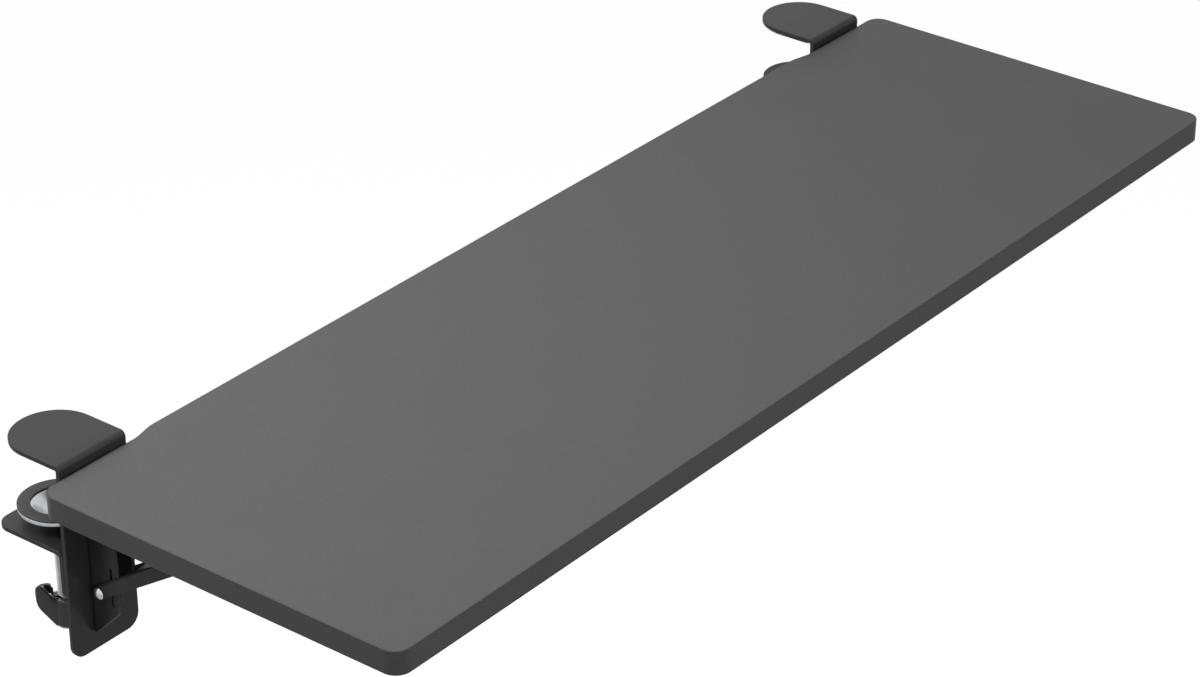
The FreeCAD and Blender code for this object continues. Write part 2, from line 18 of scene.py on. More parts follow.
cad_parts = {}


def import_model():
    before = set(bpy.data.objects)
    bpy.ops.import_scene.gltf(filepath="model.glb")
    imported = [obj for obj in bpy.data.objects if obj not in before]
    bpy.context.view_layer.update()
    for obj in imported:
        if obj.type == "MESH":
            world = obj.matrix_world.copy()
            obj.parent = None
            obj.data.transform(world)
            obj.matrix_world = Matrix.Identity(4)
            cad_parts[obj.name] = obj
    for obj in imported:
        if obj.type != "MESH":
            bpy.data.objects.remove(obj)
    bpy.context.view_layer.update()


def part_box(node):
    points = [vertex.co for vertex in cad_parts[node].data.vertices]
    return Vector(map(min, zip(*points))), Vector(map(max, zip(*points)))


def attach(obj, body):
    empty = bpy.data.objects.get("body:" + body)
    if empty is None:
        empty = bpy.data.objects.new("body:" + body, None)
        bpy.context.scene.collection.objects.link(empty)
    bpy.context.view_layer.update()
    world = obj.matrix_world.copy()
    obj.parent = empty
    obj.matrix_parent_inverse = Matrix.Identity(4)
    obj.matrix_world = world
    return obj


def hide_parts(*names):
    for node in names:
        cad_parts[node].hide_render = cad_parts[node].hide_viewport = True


MM = 0.001
# Vertices nearer than this are one vertex.
MERGE_DISTANCE = 0.001 * MM
# A vertex this near to the place where an edge is looked for lies on it.
SEARCH_DISTANCE = 0.01 * MM
# Profile value that makes a bevel an arc.
CIRCULAR = 0.5
# Sockets of a Mix node's two colours and of its result, which share their names with other modes.
MIX_COLOURS = (6, 7)
MIX_RESULT = 2
PHOTO_WIDTH = 1200
log = logging.getLogger("desk_extender")

Pair = tuple[float, float]
Triple = tuple[float, float, float]


class Side(Enum):
    """The two ends of the board, each with its own clamp."""

    LEFT = "left"
    RIGHT = "right"


class Body(Enum):
    """Bodies that do not depend on the side."""

    CLAMPS = "clamps"
    TRAY = "tray"


def linear(hex_colour: str) -> tuple[float, float, float, float]:
    """Turn an sRGB hex colour into linear light, by the formula of the sRGB standard.

    Args:
        hex_colour: Six hex digits after a hash.

    Returns:
        Red, green, blue and an alpha of one.
    """
    parts = [int(hex_colour[start:start + 2], 16) / 255 for start in (1, 3, 5)]
    light = [part / 12.92 if part <= 0.04045 else ((part + 0.055) / 1.055) ** 2.4 for part in parts]
    return light[0], light[1], light[2], 1.0


def per_metre(size_mm: float) -> float:
    """Texture scale that gives a pattern features of this size."""
    return 1 / (size_mm * MM)


def add_node(tree: bpy.types.NodeTree, kind: str,
             links: dict[str | int, bpy.types.NodeSocket] | None = None,
             **settings: Any) -> bpy.types.Node:
    """Add one node with its settings and the links that come into it.

    Args:
        tree: The node tree that gets it.
        kind: The node's type name.
        links: Output sockets of other nodes, by the name or number of the input they go to.
        **settings: Values of its inputs by lower-case name, or else properties of the node.

    Returns:
        The new node.
    """
    node = tree.nodes.new(kind)
    sockets = {socket.name.lower().replace(" ", "_"): socket for socket in reversed(node.inputs)}
    for name, value in settings.items():
        if name in sockets:
            sockets[name].default_value = value
        else:
            setattr(node, name, value)
    for place, output in (links or {}).items():
        tree.links.new(output, node.inputs[place])
    return node


@dataclass(frozen=True)
class Finish:
    """A surface: a colour and a roughness that drift a little, and a fine relief."""

    name: str
    colour: str
    drift_colour: str
    roughness: float
    roughness_drift: float
    grain_mm: float
    grain_height_mm: float
    drift_mm: float = 45.0
    metallic: float = 0.0
    specular: float = 0.5
    stretch: Triple = (1.0, 1.0, 1.0)
    grain_detail: float = 3.0
    grain_roughness: float = 0.6
    drift_detail: float = 4.0
    drift_roughness: float = 0.55
    # Values of the drift over which the roughness changes, and values of the drift and the
    # relief added up over which the colour does.
    drift_range: Pair = (0.3, 0.7)
    tint_range: Pair = (0.7, 1.3)

    def relief(self, tree: bpy.types.NodeTree, place: bpy.types.NodeSocket) -> bpy.types.NodeSocket:
        """Height of the fine relief.

        Args:
            tree: The material's node tree.
            place: Position on the object, stretched as the finish asks.

        Returns:
            A socket with heights from 0 to 1.
        """
        noise = add_node(tree, "ShaderNodeTexNoise", {"Vector": place},
                         scale=per_metre(self.grain_mm), detail=self.grain_detail,
                         roughness=self.grain_roughness)
        return noise.outputs["Fac"]

    def build(self) -> bpy.types.Material:
        """Make the material.

        Returns:
            The finished material.
        """
        material = bpy.data.materials.new(self.name)
        material.use_nodes = True
        tree = material.node_tree
        tree.nodes.clear()
        coordinates = add_node(tree, "ShaderNodeTexCoord")
        place = add_node(tree, "ShaderNodeMapping", {"Vector": coordinates.outputs["Object"]},
                         scale=self.stretch).outputs["Vector"]
        height = self.relief(tree, place)
        drift = add_node(tree, "ShaderNodeTexNoise", {"Vector": place},
                         scale=per_metre(self.drift_mm), detail=self.drift_detail,
                         roughness=self.drift_roughness).outputs["Fac"]
        blend = add_node(tree, "ShaderNodeMath", {0: height, 1: drift}, operation="ADD")
        share = add_node(tree, "ShaderNodeMapRange", {"Value": blend.outputs["Value"]},
                         from_min=self.tint_range[0], from_max=self.tint_range[1])
        tint = add_node(tree, "ShaderNodeMix", {"Factor": share.outputs["Result"]},
                        data_type="RGBA")
        for socket, colour in zip(MIX_COLOURS, (self.colour, self.drift_colour)):
            tint.inputs[socket].default_value = linear(colour)
        rough = add_node(tree, "ShaderNodeMapRange", {"Value": drift},
                         from_min=self.drift_range[0], from_max=self.drift_range[1],
                         to_min=self.roughness - self.roughness_drift,
                         to_max=self.roughness + self.roughness_drift)
        bump = add_node(tree, "ShaderNodeBump", {"Height": height}, strength=1.0,
                        distance=self.grain_height_mm * MM)
        shader = add_node(tree, "ShaderNodeBsdfPrincipled",
                          {"Base Color": tint.outputs[MIX_RESULT],
                           "Roughness": rough.outputs["Result"],
                           "Normal": bump.outputs["Normal"]}, metallic=self.metallic)
        shader.inputs["Specular IOR Level"].default_value = self.specular
        add_node(tree, "ShaderNodeOutputMaterial", {"Surface": shader.outputs["BSDF"]})
        return material


@dataclass(frozen=True)
class PebbledFinish(Finish):
    """A relief of small rounded cells, as a pressing plate, a spark-eroded mould or foam gives."""

    cell_smoothness: float = 0.6

    def relief(self, tree: bpy.types.NodeTree, place: bpy.types.NodeSocket) -> bpy.types.NodeSocket:
        """Height of the cells.

        Args:
            tree: The material's node tree.
            place: Position on the object, stretched as the finish asks.

        Returns:
            A socket with heights from 0 to 1.
        """
        cells = add_node(tree, "ShaderNodeTexVoronoi", {"Vector": place}, feature="SMOOTH_F1",
                         scale=per_metre(self.grain_mm), smoothness=self.cell_smoothness)
        return cells.outputs["Distance"]


# Melamine-faced fibreboard, pressed against a pebbled plate: an even dark grey that scatters
# light softly, with pebbles drawn a little coarser than the real 0.3 mm so that they show.
LAMINATE = PebbledFinish("melamine_faced_board", "#5e5e5f", "#646465", 0.5, 0.04, 0.9, 0.02,
                         drift_mm=60.0, specular=0.22)
# ABS edge band, extruded: a shade darker and smoother than the board, with a soft sheen.
EDGE_BAND = PebbledFinish("extruded_abs_edge_band", "#4c4c4d", "#545455", 0.34, 0.05, 0.8, 0.01,
                          drift_mm=30.0, specular=0.28, stretch=(0.7, 0.7, 1.0))
# Powder coat on steel, baked: satin black with the slight orange peel of melted powder.
POWDER_COAT = Finish("satin_black_powder_coat", "#363637", "#3c3c3d", 0.36, 0.05, 1.6, 0.012,
                     specular=0.22)
# Bright zinc plate on turned and pressed steel: pale, blurred reflections with faint clouding.
ZINC = Finish("bright_zinc_plated_steel", "#d0d2d4", "#c8cacc", 0.3, 0.03, 0.35, 0.0006,
              drift_mm=14.0, metallic=1.0)
# Spring steel, hardened and blued: nearly black, with a thin cold shine.
SPRING_STEEL = Finish("blued_spring_steel", "#2c2d2f", "#252628", 0.34, 0.06, 0.8, 0.003,
                      drift_mm=5.0, metallic=1.0)
# Glass-filled nylon, moulded and polished at its edges: black, with a shine on every curve.
NYLON = PebbledFinish("moulded_black_nylon", "#29292a", "#303031", 0.22, 0.03, 0.5, 0.002,
                      drift_mm=8.0, specular=0.6)
# Acetal, turned, for the bushes: black, smooth and slightly waxy.
ACETAL = Finish("turned_black_acetal", "#222223", "#2a2a2b", 0.4, 0.04, 0.5, 0.008, drift_mm=6.0)
# Rubber, moulded: near black and dull, with a slightly dusty drift.
RUBBER = PebbledFinish("moulded_black_rubber", "#1c1c1c", "#272727", 0.72, 0.06, 0.8, 0.05,
                       drift_mm=10.0, specular=0.3)
# Closed-cell foam, cut: grey, dull, with open half cells on its face.
FOAM = PebbledFinish("cut_eva_foam", "#595959", "#676768", 0.85, 0.06, 0.7, 0.08, drift_mm=8.0,
                     specular=0.2)


class Finishes:
    """Every material of the object, made once."""

    def __init__(self) -> None:
        """Build all the materials."""
        self.laminate = LAMINATE.build()
        self.edge_band = EDGE_BAND.build()
        self.powder_coat = POWDER_COAT.build()
        self.zinc = ZINC.build()
        self.spring_steel = SPRING_STEEL.build()
        self.nylon = NYLON.build()
        self.acetal = ACETAL.build()
        self.rubber = RUBBER.build()
        self.foam = FOAM.build()


def settle(mesh: bpy.types.Mesh, crease_degrees: float) -> None:
    """Shade a mesh smooth, with a crease wherever two faces meet at more than an angle."""
    mesh.shade_smooth()
    mesh.set_sharp_from_angle(angle=math.radians(crease_degrees))


def place_piece(bm: bmesh.types.BMesh, name: str, material: bpy.types.Material, body: str,
                crease_degrees: float = 35.0) -> bpy.types.Object:
    """Turn a finished bmesh into a piece that rides on a body.

    Args:
        bm: The mesh, in its place in the object's frame. It is freed.
        name: The piece's name.
        material: Its finish.
        body: The CAD body that it moves with.
        crease_degrees: Faces that meet at a larger angle keep a sharp edge.

    Returns:
        The new object.
    """
    mesh = bpy.data.meshes.new(name)
    bm.to_mesh(mesh)
    bm.free()
    settle(mesh, crease_degrees)
    mesh.materials.append(material)
    piece = bpy.data.objects.new(name, mesh)
    bpy.context.scene.collection.objects.link(piece)
    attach(piece, body)
    return piece


def merged_copy(node: str, weld_distance: float, flat_degrees: float) -> bmesh.types.BMesh:
    """Copy a CAD node's mesh with its loose triangles joined into whole flat faces.

    Args:
        node: The CAD node.
        weld_distance: Vertices nearer than this become one.
        flat_degrees: Faces that meet at a smaller angle become one.

    Returns:
        The copy.
    """
    bm = bmesh.new()
    bm.from_mesh(bpy.data.objects[node].data)
    bmesh.ops.remove_doubles(bm, verts=bm.verts, dist=weld_distance)
    bmesh.ops.dissolve_limit(bm, angle_limit=math.radians(flat_degrees), verts=bm.verts,
                             edges=bm.edges)
    return bm


@dataclass
class Softener:
    """Makes a copy of a CAD node with its edges rounded, as a press, a file or paint does."""

    edge_round: float = 0.35 * MM
    edge_segments: int = 2
    weld_distance: float = MERGE_DISTANCE
    flat_degrees: float = 1.0
    edge_degrees: float = 40.0

    def copy(self, node: str, name: str, material: bpy.types.Material, body: str,
             slot: str) -> bpy.types.Object:
        """Replace a CAD node by a copy with rounded edges.

        Args:
            node: The CAD node.
            name: Name of the new piece.
            material: Its finish.
            body: The body that it rides on.
            slot: Not used.

        Returns:
            The new object.
        """
        bm = merged_copy(node, self.weld_distance, self.flat_degrees)
        piece = place_piece(bm, name, material, body, self.edge_degrees)
        bevel = piece.modifiers.new("edge_round", "BEVEL")
        bevel.width = self.edge_round
        bevel.segments = self.edge_segments
        bevel.limit_method = "ANGLE"
        bevel.angle_limit = math.radians(self.edge_degrees)
        bevel.use_clamp_overlap = False
        bevel.loop_slide = False
        bevel.harden_normals = True
        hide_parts(node)
        return piece


def dress(node: str, material: bpy.types.Material) -> None:
    """Give a CAD node that keeps its own shape a finish."""
    for slot in bpy.data.objects[node].material_slots:
        slot.material = material


@dataclass
class Tray:
    """The board and the band round its edges."""

    finishes: Finishes

    def build(self) -> None:
        """Dress the board and its band."""
        dress("tray_board", self.finishes.laminate)
        dress("tray_edge_band", self.finishes.edge_band)
        log.info("tray: board and edge band dressed")


@dataclass
class ThreadedScrew:
    """Clamp screw with a real helical thread, and the riveted neck that holds the cup."""

    finishes: Finishes
    side: Side
    major_radius: float = 4.97 * MM
    minor_radius: float = 4.25 * MM
    pitch: float = 1.25 * MM
    # Parts of the pitch that are flat at the top and at the foot of the thread.
    crest_share: float = 0.16
    root_share: float = 0.26
    facets: int = 28
    # Turns made too many, which the cuts at both ends take away.
    spare_turns: int = 2
    neck_radius: float = 3.5 * MM
    neck_facets: int = 32
    head_radius: float = 5.4 * MM
    head_height: float = 2.0 * MM
    crease_degrees: float = 30.0

    def build(self) -> None:
        """Make the threaded screw in the place of its CAD node."""
        node = f"{self.side.value}_clamp_screw"
        low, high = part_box(node)
        axis = Vector(((low.x + high.x) / 2, (low.y + high.y) / 2, 0))
        thread_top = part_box(f"{self.side.value}_pressure_cup")[0].z
        bm = bmesh.new()
        self.cut_thread(bm, axis, low.z, thread_top)
        self.add_neck(bm, axis, thread_top, high.z)
        piece = place_piece(bm, f"{node}_threaded", self.finishes.zinc,
                            f"{self.side.value}_screw", self.crease_degrees)
        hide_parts(node)
        log.info("%s clamp screw threaded", self.side.value)

    def cut_thread(self, bm: bmesh.types.BMesh, axis: Vector, bottom: float, top: float) -> None:
        """Spin one pitch of the thread's profile up the screw, and cut both ends flat.

        Args:
            bm: Mesh that gets the thread.
            axis: A point on the screw's axis.
            bottom: Lower end of the thread.
            top: Upper end of the thread.
        """
        turns = math.ceil((top - bottom) / self.pitch) + self.spare_turns
        flank = (1 - self.crest_share - self.root_share) / 2
        shares = (0, self.root_share, self.root_share + flank, 1 - flank, 1)
        radii = (self.minor_radius, self.minor_radius, self.major_radius, self.major_radius,
                 self.minor_radius)
        start = bottom - self.pitch
        profile = [bm.verts.new((axis.x + radius, axis.y, start + share * self.pitch))
                   for share, radius in zip(shares, radii)]
        edges = [bm.edges.new(pair) for pair in zip(profile, profile[1:])]
        bmesh.ops.spin(bm, geom=profile + edges, cent=axis, axis=(0, 0, 1),
                       dvec=(0, 0, self.pitch / self.facets), angle=2 * math.pi * turns,
                       steps=self.facets * turns, use_merge=False)
        bmesh.ops.remove_doubles(bm, verts=bm.verts, dist=MERGE_DISTANCE)
        for height, normal in ((bottom, (0, 0, -1)), (top, (0, 0, 1))):
            cut_flat(bm, height, normal)
        bmesh.ops.recalc_face_normals(bm, faces=bm.faces)

    def add_neck(self, bm: bmesh.types.BMesh, axis: Vector, bottom: float, top: float) -> None:
        """Add the smooth neck and the rounded head that the cup turns under.

        Args:
            bm: Mesh that gets them.
            axis: A point on the screw's axis.
            bottom: Foot of the neck.
            top: Top of the head.
        """
        seat = top - self.head_height
        points = [(0, bottom), (self.neck_radius, bottom), (self.neck_radius, seat)]
        points += dome_profile(self.head_radius, seat, self.head_height)
        spin_profile(bm, points, axis, self.neck_facets)


def cut_flat(bm: bmesh.types.BMesh, height: float, normal: Triple) -> None:
    """Cut a solid off at a height and close it with a flat face.

    Args:
        bm: The solid.
        height: Where it is cut.
        normal: Direction of the side that goes.
    """
    cut = bmesh.ops.bisect_plane(bm, geom=bm.verts[:] + bm.edges[:] + bm.faces[:],
                                 plane_co=(0, 0, height), plane_no=normal, clear_outer=True)
    rim = [item for item in cut["geom_cut"] if isinstance(item, bmesh.types.BMEdge)]
    bmesh.ops.edgenet_fill(bm, edges=rim)


def spin_profile(bm: bmesh.types.BMesh, points: list[Pair], axis: Vector, facets: int) -> None:
    """Turn a line of radius and height into a closed solid of revolution.

    Args:
        bm: Mesh that gets the solid.
        points: The line. It starts and ends on the axis, or else it is closed into a ring.
        axis: A point on the vertical axis.
        facets: Facets round the axis.
    """
    before = set(bm.verts)
    line = [bm.verts.new((axis.x + radius, axis.y, height)) for radius, height in points]
    edges = [bm.edges.new(pair) for pair in zip(line, line[1:])]
    if points[0][0] > 0:
        edges.append(bm.edges.new((line[-1], line[0])))
    bmesh.ops.spin(bm, geom=line + edges, cent=axis, axis=(0, 0, 1), angle=2 * math.pi,
                   steps=facets, use_merge=True)
    new = [vert for vert in bm.verts if vert not in before]
    bmesh.ops.remove_doubles(bm, verts=new, dist=MERGE_DISTANCE)
    faces = {face for vert in bm.verts if vert not in before for face in vert.link_faces}
    bmesh.ops.recalc_face_normals(bm, faces=list(faces))


def dome_profile(radius: float, base: float, rise: float, steps: int = 6) -> list[Pair]:
    """Line of a low round head, from its rim to its crown.

    Args:
        radius: Radius of the rim.
        base: Height of the rim.
        rise: Height of the crown over the rim, negative for a head that hangs.
        steps: Pieces of the line.

    Returns:
        Points as radius and height.
    """
    angles = [math.pi / 2 * step / steps for step in range(steps + 1)]
    return [(radius * math.cos(angle), base + rise * math.sin(angle)) for angle in angles]


def round_ring(bm: bmesh.types.BMesh, axis: Vector, place: Pair, width: float,
               segments: int = 5) -> None:
    """Round the circular edge at one place of a turned solid.

    Args:
        bm: The turned solid.
        axis: A point on its vertical axis.
        place: Radius and height of the edge.
        width: How far the rounding reaches from the edge.
        segments: Facets across the rounding.
    """
    radius, height = place
    ring = [edge for edge in bm.edges
            if all(abs(vert.co.z - height) < SEARCH_DISTANCE
                   and abs((vert.co - axis).xy.length - radius) < SEARCH_DISTANCE
                   for vert in edge.verts)]
    bmesh.ops.bevel(bm, geom=ring, offset=width, offset_type="OFFSET", segments=segments,
                    profile=CIRCULAR, affect="EDGES", material=-1)


@dataclass
class PressureCup:
    """Pressed dish with a turned-down rim, and the foam ring that faces the desk."""

    finishes: Finishes
    side: Side
    facets: int = 128
    sheet: float = 1.2 * MM
    hole_radius: float = 3.6 * MM
    floor_radius: float = 8.0 * MM
    mouth_radius: float = 15.4 * MM
    wall_shift: float = 0.45 * MM
    lip_height: float = 2.4 * MM
    floor_round: float = 3.0 * MM
    mouth_round: float = 1.3 * MM
    rim_round: float = 0.7 * MM
    lip_round: float = 0.35 * MM
    ring_round: float = 0.3 * MM
    ring_segments: int = 3
    crease_degrees: float = 40.0

    def build(self) -> None:
        """Make the dish and its foam ring."""
        name = self.side.value
        self.press_dish(f"{name}_pressure_cup", f"{name}_cup")
        softener = Softener(edge_round=self.ring_round, edge_segments=self.ring_segments)
        softener.copy(f"{name}_cup_ring", f"{name}_foam_ring", self.finishes.foam, f"{name}_cup",
                      "foam")
        log.info("%s pressure cup and foam ring", name)

    def press_dish(self, node: str, body: str) -> None:
        """Turn the dish in the place of its CAD node, with the soft edges of pressed sheet.

        Args:
            node: The CAD node.
            body: The body that it rides on.
        """
        low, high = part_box(node)
        axis = Vector(((low.x + high.x) / 2, (low.y + high.y) / 2, 0))
        rim = high.z
        edge = (high.x - low.x) / 2
        floor = low.z + self.sheet
        under = rim - self.sheet
        outline = {
            "hole": (self.hole_radius, floor),
            "floor": (self.floor_radius, floor),
            "mouth": (self.mouth_radius, rim),
            "rim": (edge, rim),
            "lip": (edge, rim - self.lip_height),
            "lip_inside": (edge - self.sheet, rim - self.lip_height),
            "rim_inside": (edge - self.sheet, under),
            "mouth_under": (self.mouth_radius + self.wall_shift, under),
            "floor_under": (self.floor_radius + self.wall_shift, low.z),
            "hole_under": (self.hole_radius, low.z),
        }
        bm = bmesh.new()
        spin_profile(bm, list(outline.values()), axis, self.facets)
        for place, width in (("floor", self.floor_round), ("floor_under", self.floor_round),
                             ("mouth", self.mouth_round), ("mouth_under", self.mouth_round),
                             ("rim", self.rim_round), ("lip", self.lip_round),
                             ("lip_inside", self.lip_round)):
            round_ring(bm, axis, outline[place], width)
        piece = place_piece(bm, f"{self.side.value}_pressed_cup", self.finishes.zinc, body,
                            self.crease_degrees)
        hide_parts(node)


def sink(bm: bmesh.types.BMesh, faces: list[bmesh.types.BMFace], depth: Vector) -> None:
    """Push a patch of faces in, with walls down to it."""
    grown = bmesh.ops.extrude_face_region(bm, geom=faces)["geom"]
    verts = [item for item in grown if isinstance(item, bmesh.types.BMVert)]
    bmesh.ops.translate(bm, verts=verts, vec=depth)


def score(bm: bmesh.types.BMesh, direction: Vector, places: list[float]) -> None:
    """Cut every face of a mesh along planes square to a direction, without parting it."""
    for place in places:
        bmesh.ops.bisect_plane(bm, geom=bm.verts[:] + bm.edges[:] + bm.faces[:],
                               plane_co=direction * place, plane_no=direction)


@dataclass
class RailScrews:
    """Pan head screws with a cross recess that hold a rail under the board."""

    finishes: Finishes
    side: Side
    # Where each screw stands along Y.
    places: tuple[float, ...] = (-41.0 * MM, -76.0 * MM, -183.0 * MM)
    shank_radius: float = 2.0 * MM
    head_radius: float = 3.6 * MM
    head_height: float = 1.5 * MM
    recess_half_width: float = 0.45 * MM
    recess_reach: float = 1.9 * MM
    recess_depth: float = 0.9 * MM
    facets: int = 40

    def build(self) -> None:
        """Make the screws in the place of their CAD node."""
        node = f"{self.side.value}_rail_screws"
        low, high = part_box(node)
        middle = (low.x + high.x) / 2
        screws = bmesh.new()
        for place in self.places:
            self.add_screw(screws, Vector((middle, place, 0)), low.z, high.z)
        piece = place_piece(screws, f"{node}_recessed", self.finishes.zinc, Body.TRAY.value)
        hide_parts(node)
        log.info("%s rail screws with cross recesses", self.side.value)

    def add_screw(self, screws: bmesh.types.BMesh, axis: Vector, crown: float, end: float) -> None:
        """Add one screw that hangs head down.

        Args:
            screws: Mesh that gets it.
            axis: A point on its axis.
            crown: Height of the middle of the head.
            end: Height of the end of the shank.
        """
        seat = crown + self.head_height
        bm = bmesh.new()
        points = [(0, end), (self.shank_radius, end), (self.shank_radius, seat)]
        points += dome_profile(self.head_radius, seat, -self.head_height)
        spin_profile(bm, points, axis, self.facets)
        for direction, middle in ((Vector((1, 0, 0)), axis.x), (Vector((0, 1, 0)), axis.y)):
            for reach in (self.recess_half_width, self.recess_reach):
                score(bm, direction, [middle - reach, middle + reach])
        sink(bm, [face for face in bm.faces if self.in_recess(face, axis, seat)],
             Vector((0, 0, self.recess_depth)))
        mesh = bpy.data.meshes.new("one_rail_screw")
        bm.to_mesh(mesh)
        bm.free()
        screws.from_mesh(mesh)
        bpy.data.meshes.remove(mesh)

    def in_recess(self, face: bmesh.types.BMFace, axis: Vector, seat: float) -> bool:
        """Whether a face of the head lies in the cross."""
        middle = face.calc_center_median()
        across, along = sorted(abs(offset) for offset in (middle - axis).xy)
        return middle.z < seat and across < self.recess_half_width and along < self.recess_reach


@dataclass
class TonguePad:
    """Moulded rubber pad under the tongue, with grip ribs that bear on the desk."""

    finishes: Finishes
    side: Side
    rib_pitch: float = 3.0 * MM
    groove_width: float = 1.1 * MM
    groove_depth: float = 0.6 * MM
    border: float = 2.5 * MM
    flat_degrees: float = 1.0
    underside_normal: float = -0.9

    def build(self) -> None:
        """Groove a copy of the pad's CAD node."""
        node = f"{self.side.value}_tongue_pad"
        low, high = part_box(node)
        bm = merged_copy(node, MERGE_DISTANCE, self.flat_degrees)
        front = low.y + self.border
        count = int((high.y - self.border - front) / self.rib_pitch)
        grooves = [front + self.rib_pitch * index for index in range(count)]
        edges = [low.x + self.border, high.x - self.border]
        score(bm, Vector((1, 0, 0)), edges)
        score(bm, Vector((0, 1, 0)), [start + shift for start in grooves
                                      for shift in (0, self.groove_width)])
        for start in grooves:
            faces = [face for face in bm.faces if face.normal.z < self.underside_normal
                     and start < face.calc_center_median().y < start + self.groove_width
                     and edges[0] < face.calc_center_median().x < edges[1]]
            sink(bm, faces, Vector((0, 0, self.groove_depth)))
        piece = place_piece(bm, f"{node}_ribbed", self.finishes.rubber, Body.CLAMPS.value)
        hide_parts(node)
        log.info("%s tongue pad with %d grooves", self.side.value, count)


@dataclass
class NutWeld:
    """Short weld beads between the nut's flats and the underside of the shelf."""

    finishes: Finishes
    side: Side
    # Which of the nut's six flats are welded.
    flats: tuple[int, ...] = (0, 2, 4)
    drops: int = 5
    drop_pitch: float = 1.3 * MM
    drop_radius: float = 1.3 * MM
    drop_length: float = 0.8
    drop_facets: tuple[int, int] = (14, 10)
    # Direction of the nut's first flat, and the turn from each flat to the next.
    first_flat_degrees: float = 30.0
    flat_step_degrees: float = 60.0

    def build(self) -> None:
        """Lay rows of overlapping drops in the corner that the nut makes with the shelf."""
        low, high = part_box(f"{self.side.value}_weld_nut")
        middle = Vector(((low.x + high.x) / 2, (low.y + high.y) / 2, high.z))
        to_flat = (high.y - low.y) / 2
        bm = bmesh.new()
        for flat in self.flats:
            degrees = self.first_flat_degrees + self.flat_step_degrees * flat
            turn = Matrix.Rotation(math.radians(degrees), 4, "Z")
            for index in range(self.drops):
                along = (index - (self.drops - 1) / 2) * self.drop_pitch
                place = Matrix.Translation(middle) @ turn @ Matrix.Translation((to_flat, along, 0))
                scale = Matrix.Diagonal((1, self.drop_length, 1, 1))
                bmesh.ops.create_uvsphere(bm, u_segments=self.drop_facets[0],
                                          v_segments=self.drop_facets[1],
                                          radius=self.drop_radius, matrix=place @ scale)
        cut_flat(bm, high.z, (0, 0, 1))
        piece = place_piece(bm, f"{self.side.value}_nut_weld", self.finishes.powder_coat,
                            Body.CLAMPS.value)
        log.info("%s nut welded with %d beads", self.side.value, len(self.flats))


@dataclass
class ClampSteel:
    """The bent plates of one clamp, with painted, rounded edges."""

    finishes: Finishes
    side: Side
    plate_round: float = 0.45 * MM
    plate_segments: int = 3
    nut_round: float = 0.3 * MM
    fold_round: float = 0.2 * MM
    fold_weld: float = 0.1 * MM
    fold_flat_degrees: float = 2.0
    fold_edge_degrees: float = 55.0

    def build(self) -> None:
        """Round the edges of the plates and dress the small parts."""
        name = self.side.value
        plates = Softener(edge_round=self.plate_round, edge_segments=self.plate_segments)
        nut = Softener(edge_round=self.nut_round)
        folded = Softener(edge_round=self.fold_round, weld_distance=self.fold_weld,
                          flat_degrees=self.fold_flat_degrees, edge_degrees=self.fold_edge_degrees)
        for part, softener in (("clamp_bracket", plates), ("clamp_shelf", plates),
                               ("hinge_channel", folded), ("weld_nut", nut)):
            softener.copy(f"{name}_{part}", f"{name}_{part}_coated", self.finishes.powder_coat,
                          Body.CLAMPS.value, "black_steel")
        for part, material in (("catch_spring", self.finishes.spring_steel),
                               ("plate_rivets", self.finishes.powder_coat),
                               ("shelf_rivets", self.finishes.powder_coat),
                               ("hinge_pin", self.finishes.zinc),
                               ("hinge_bushes", self.finishes.acetal),
                               ("brace_rivet", self.finishes.zinc)):
            dress(f"{name}_{part}", material)
        log.info("%s clamp plates", name)


def rounded_outline(corners: list[Triple], steps: int = 8) -> list[Pair]:
    """Points of a closed outline with an arc at each corner that has a radius.

    Args:
        corners: Corners as two coordinates and a radius.
        steps: Pieces of each arc.

    Returns:
        Points as two coordinates.
    """
    points = []
    for index, (along, height, radius) in enumerate(corners):
        corner = Vector((along, height))
        if radius == 0:
            points.append(corner)
            continue
        back = (Vector(corners[index - 1][:2]) - corner).normalized()
        ahead = (Vector(corners[(index + 1) % len(corners)][:2]) - corner).normalized()
        half = back.angle(ahead) / 2
        centre = corner + (back + ahead).normalized() * (radius / math.sin(half))
        start = corner + back * (radius / math.tan(half)) - centre
        end = corner + ahead * (radius / math.tan(half)) - centre
        # A step from start to end comes out one unit long, so it is drawn out to the radius.
        points += [centre + start.slerp(end, step / steps) * radius for step in range(steps + 1)]
    return [(point.x, point.y) for point in points]


def loft(bm: bmesh.types.BMesh, frame: Matrix,
         sections: list[tuple[list[Pair], float]]) -> list[list[bmesh.types.BMVert]]:
    """Skin upright outlines of equal length, set one behind the other, and close both ends.

    Args:
        bm: Mesh that gets the skin.
        frame: Place of the outlines, which stand in its XZ plane.
        sections: Each outline's points and how far along Y it stands.

    Returns:
        The vertices of each section.
    """
    rows = [[bm.verts.new(frame @ Vector((along, offset, height))) for along, height in outline]
            for outline, offset in sections]
    faces = [bm.faces.new(rows[0]), bm.faces.new(rows[-1])]
    for row, other in zip(rows, rows[1:]):
        for index in range(len(row)):
            faces.append(bm.faces.new((row[index - 1], row[index], other[index], other[index - 1])))
    bmesh.ops.recalc_face_normals(bm, faces=faces)
    return rows


